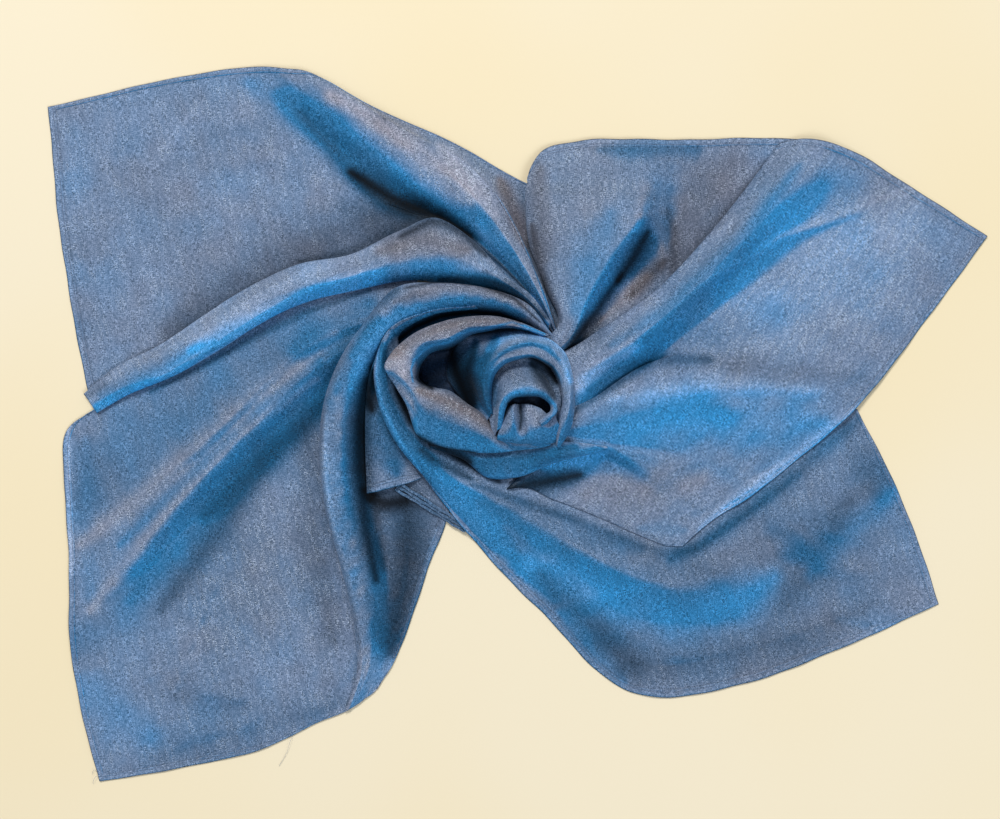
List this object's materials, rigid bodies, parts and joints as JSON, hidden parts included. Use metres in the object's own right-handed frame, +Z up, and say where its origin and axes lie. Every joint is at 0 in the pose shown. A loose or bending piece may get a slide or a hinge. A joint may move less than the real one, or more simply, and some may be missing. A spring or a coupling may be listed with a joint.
{
  "type": "square shawl",
  "caption": "Square voile shawl laid flat and twirled at its middle into a rosette, with panels, pleats and rolls fanned out over the surface.",
  "frame": {"origin": "on the table, under the middle of the laid cloth's bounding box", "axes": "+X to the right along the longest extent, +Y away from the viewer's side of the table, +Z up out of the table"},
  "size_m": [0.9394, 0.7144, 0.066],
  "materials": {
    "shot_voile": "sheer shot weave, blue over grey-mauve, with a fine sparkle",
    "folded_voile": "the same cloth in deep shade"
  },
  "bodies": {
    "root": {"panel_northwest": "shot_voile", "panel_southwest": "shot_voile", "panel_north": "shot_voile", "panel_east": "shot_voile", "panel_southeast": "shot_voile", "pleat_west": "shot_voile", "pleat_southwest": "shot_voile", "flap_south": "shot_voile", "hem_layers": "shot_voile", "petal_south": "shot_voile", "roll_outer": "shot_voile", "roll_middle": "shot_voile", "roll_inner": "shot_voile", "fold_centre": "shot_voile", "core": "folded_voile"}
  },
  "joints": []
}
